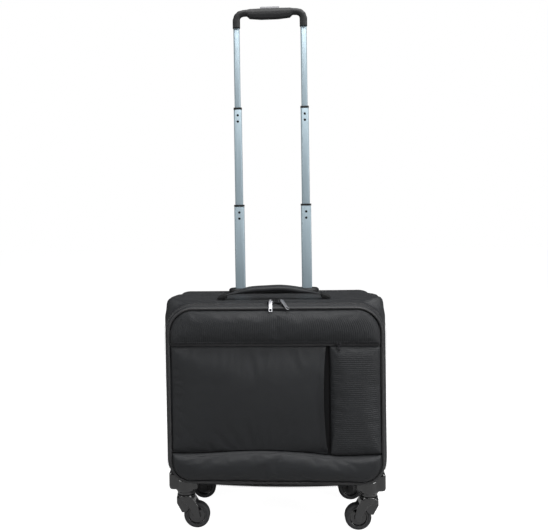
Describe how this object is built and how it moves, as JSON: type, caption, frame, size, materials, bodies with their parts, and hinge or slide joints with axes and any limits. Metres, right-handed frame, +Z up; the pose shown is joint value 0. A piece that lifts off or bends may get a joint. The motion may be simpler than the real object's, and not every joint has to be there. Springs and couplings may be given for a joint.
{
  "type": "pilot rolling flight case",
  "caption": "Soft-sided black business trolley case with a zipped front lid, organiser pockets, padded carry handle, telescopic pull handle and swivel casters.",
  "frame": {"origin": "on the floor, under the middle of the case's overall box", "axes": "+Z up, -Y towards the pockets on the front, +X to the right seen from the front; the telescopic handle is pulled out and all four wheels trail towards the middle"},
  "size_m": [0.42, 0.2146, 1.0365],
  "materials": {
    "black_nylon": "woven ballistic nylon with a low sheen",
    "black_piping": "woven cord cover",
    "grey_lining": "plain woven lining",
    "stiffener_board": "plain sheet",
    "zip_tape": "woven tape with a nylon coil",
    "gloss_black_plastic": "glossy moulded",
    "matt_black_plastic": "fine moulded grain",
    "anodised_tube": "satin anodised",
    "spring_steel": "drawn wire",
    "nickel_pull": "polished nickel plating",
    "grey_tyre": "satin polyurethane",
    "grey_button": "satin moulded"
  },
  "bodies": {
    "case": {"main_shell": "black_nylon", "base_board": "stiffener_board", "lining_panel": "grey_lining", "back_panel": "black_nylon", "rear_piping": "black_piping", "frame_wire": "spring_steel", "zip_half_case": "zip_tape", "foot_bracket": "matt_black_plastic", "trolley_bezel": "matt_black_plastic", "fixed_tube_left": "anodised_tube", "fixed_tube_right": "anodised_tube", "handle_anchor_left": "matt_black_plastic", "handle_anchor_right": "matt_black_plastic", "corner_guard_front_left": "gloss_black_plastic", "corner_guard_front_right": "gloss_black_plastic", "corner_guard_rear_left": "gloss_black_plastic", "corner_guard_rear_right": "gloss_black_plastic"},
    "lid": {"lid_ring": "black_nylon", "front_piping": "black_piping", "zip_half_lid": "zip_tape", "lid_board": "stiffener_board", "upper_band": "black_nylon", "bottom_band": "black_nylon", "side_pocket": "black_nylon", "large_pocket": "black_nylon", "pocket_zip": "zip_tape"},
    "zip_left": {"zip_left_slider": "nickel_pull"},
    "zip_left_tab": {"zip_left_pull": "nickel_pull"},
    "zip_right": {"zip_right_slider": "nickel_pull"},
    "zip_right_tab": {"zip_right_pull": "nickel_pull"},
    "pocket_zip_slider": {"pocket_slider": "matt_black_plastic"},
    "pocket_zip_tab": {"pocket_pull": "matt_black_plastic"},
    "carry_strap": {"carry_handle": "black_nylon"},
    "stage_1": {"stage_1_tube_left": "anodised_tube", "stage_1_tube_right": "anodised_tube", "stage_1_bushing_left": "matt_black_plastic", "stage_1_bushing_right": "matt_black_plastic"},
    "stage_2": {"stage_2_tube_left": "anodised_tube", "stage_2_tube_right": "anodised_tube", "stage_2_bushing_left": "matt_black_plastic", "stage_2_bushing_right": "matt_black_plastic"},
    "stage_3": {"stage_3_tube_left": "anodised_tube", "stage_3_tube_right": "anodised_tube", "trolley_grip": "matt_black_plastic"},
    "button": {"release_button": "grey_button"},
    "swivel_front_left": {"caster_fork_front_left": "gloss_black_plastic"},
    "wheel_front_left": {"tyre_front_left": "grey_tyre", "wheel_hub_front_left": "matt_black_plastic"},
    "swivel_front_right": {"caster_fork_front_right": "gloss_black_plastic"},
    "wheel_front_right": {"tyre_front_right": "grey_tyre", "wheel_hub_front_right": "matt_black_plastic"},
    "swivel_rear_left": {"caster_fork_rear_left": "gloss_black_plastic"},
    "wheel_rear_left": {"tyre_rear_left": "grey_tyre", "wheel_hub_rear_left": "matt_black_plastic"},
    "swivel_rear_right": {"caster_fork_rear_right": "gloss_black_plastic"},
    "wheel_rear_right": {"tyre_rear_right": "grey_tyre", "wheel_hub_rear_right": "matt_black_plastic"}
  },
  "joints": [
    {"name": "lid_hinge", "type": "hinge", "parent": "case", "child": "lid", "pos_m": [0, -0.08315, 0.09425], "axis": [1, 0, 0], "range_deg": [0, 90]},
    {"name": "zip_left_slide", "type": "slide", "parent": "lid", "child": "zip_left", "axis": [1, 0, 0], "range_m": [-0.138, 0]},
    {"name": "zip_left_pull_hinge", "type": "hinge", "parent": "zip_left", "child": "zip_left_tab", "pos_m": [-0.0062, -0.0846, 0.4438], "axis": [-1, 0, 0], "range_deg": [0, 195]},
    {"name": "zip_right_slide", "type": "slide", "parent": "lid", "child": "zip_right", "axis": [1, 0, 0], "range_m": [0, 0.131]},
    {"name": "zip_right_pull_hinge", "type": "hinge", "parent": "zip_right", "child": "zip_right_tab", "pos_m": [0.01425, -0.0844, 0.4438], "axis": [-0.866, -0.5, 0], "range_deg": [0, 195]},
    {"name": "pocket_zip_slide", "type": "slide", "parent": "lid", "child": "pocket_zip_slider", "axis": [1, 0, 0], "range_m": [-0.305, 0]},
    {"name": "pocket_pull_hinge", "type": "hinge", "parent": "pocket_zip_slider", "child": "pocket_zip_tab", "pos_m": [0.119, -0.1013, 0.361], "axis": [-1, 0, 0], "range_deg": [0, 155]},
    {"name": "carry_handle_rock", "type": "hinge", "parent": "case", "child": "carry_strap", "pos_m": [0, -0.0239, 0.447], "axis": [1, 0, 0], "range_deg": [-15, 15], "stiffness_Nm_per_rad": 0.3},
    {"name": "stage_1_slide", "type": "slide", "parent": "case", "child": "stage_1", "axis": [0, 0, 1], "range_m": [-0.171, 0]},
    {"name": "stage_2_slide", "type": "slide", "parent": "stage_1", "child": "stage_2", "axis": [0, 0, 1], "range_m": [-0.199, 0]},
    {"name": "stage_3_slide", "type": "slide", "parent": "stage_2", "child": "stage_3", "axis": [0, 0, 1], "range_m": [-0.1645, 0]},
    {"name": "release_button_press", "type": "slide", "parent": "stage_3", "child": "button", "axis": [0, 0, 1], "range_m": [-0.003, 0], "stiffness_N_per_m": 300},
    {"name": "swivel_front_left", "type": "hinge", "parent": "case", "child": "swivel_front_left", "pos_m": [-0.1755, -0.0593, 0.0657], "axis": [0, 0, 1], "continuous": true},
    {"name": "wheel_spin_front_left", "type": "hinge", "parent": "swivel_front_left", "child": "wheel_front_left", "pos_m": [-0.1545, -0.0593, 0.025], "axis": [0, 1, 0], "continuous": true},
    {"name": "swivel_front_right", "type": "hinge", "parent": "case", "child": "swivel_front_right", "pos_m": [0.1755, -0.0593, 0.0657], "axis": [0, 0, 1], "continuous": true},
    {"name": "wheel_spin_front_right", "type": "hinge", "parent": "swivel_front_right", "child": "wheel_front_right", "pos_m": [0.1545, -0.0593, 0.025], "axis": [0, 1, 0], "continuous": true},
    {"name": "swivel_rear_left", "type": "hinge", "parent": "case", "child": "swivel_rear_left", "pos_m": [-0.1755, 0.0827, 0.0657], "axis": [0, 0, 1], "continuous": true},
    {"name": "wheel_spin_rear_left", "type": "hinge", "parent": "swivel_rear_left", "child": "wheel_rear_left", "pos_m": [-0.1545, 0.0827, 0.025], "axis": [0, 1, 0], "continuous": true},
    {"name": "swivel_rear_right", "type": "hinge", "parent": "case", "child": "swivel_rear_right", "pos_m": [0.1755, 0.0827, 0.0657], "axis": [0, 0, 1], "continuous": true},
    {"name": "wheel_spin_rear_right", "type": "hinge", "parent": "swivel_rear_right", "child": "wheel_rear_right", "pos_m": [0.1545, 0.0827, 0.025], "axis": [0, 1, 0], "continuous": true}
  ]
}
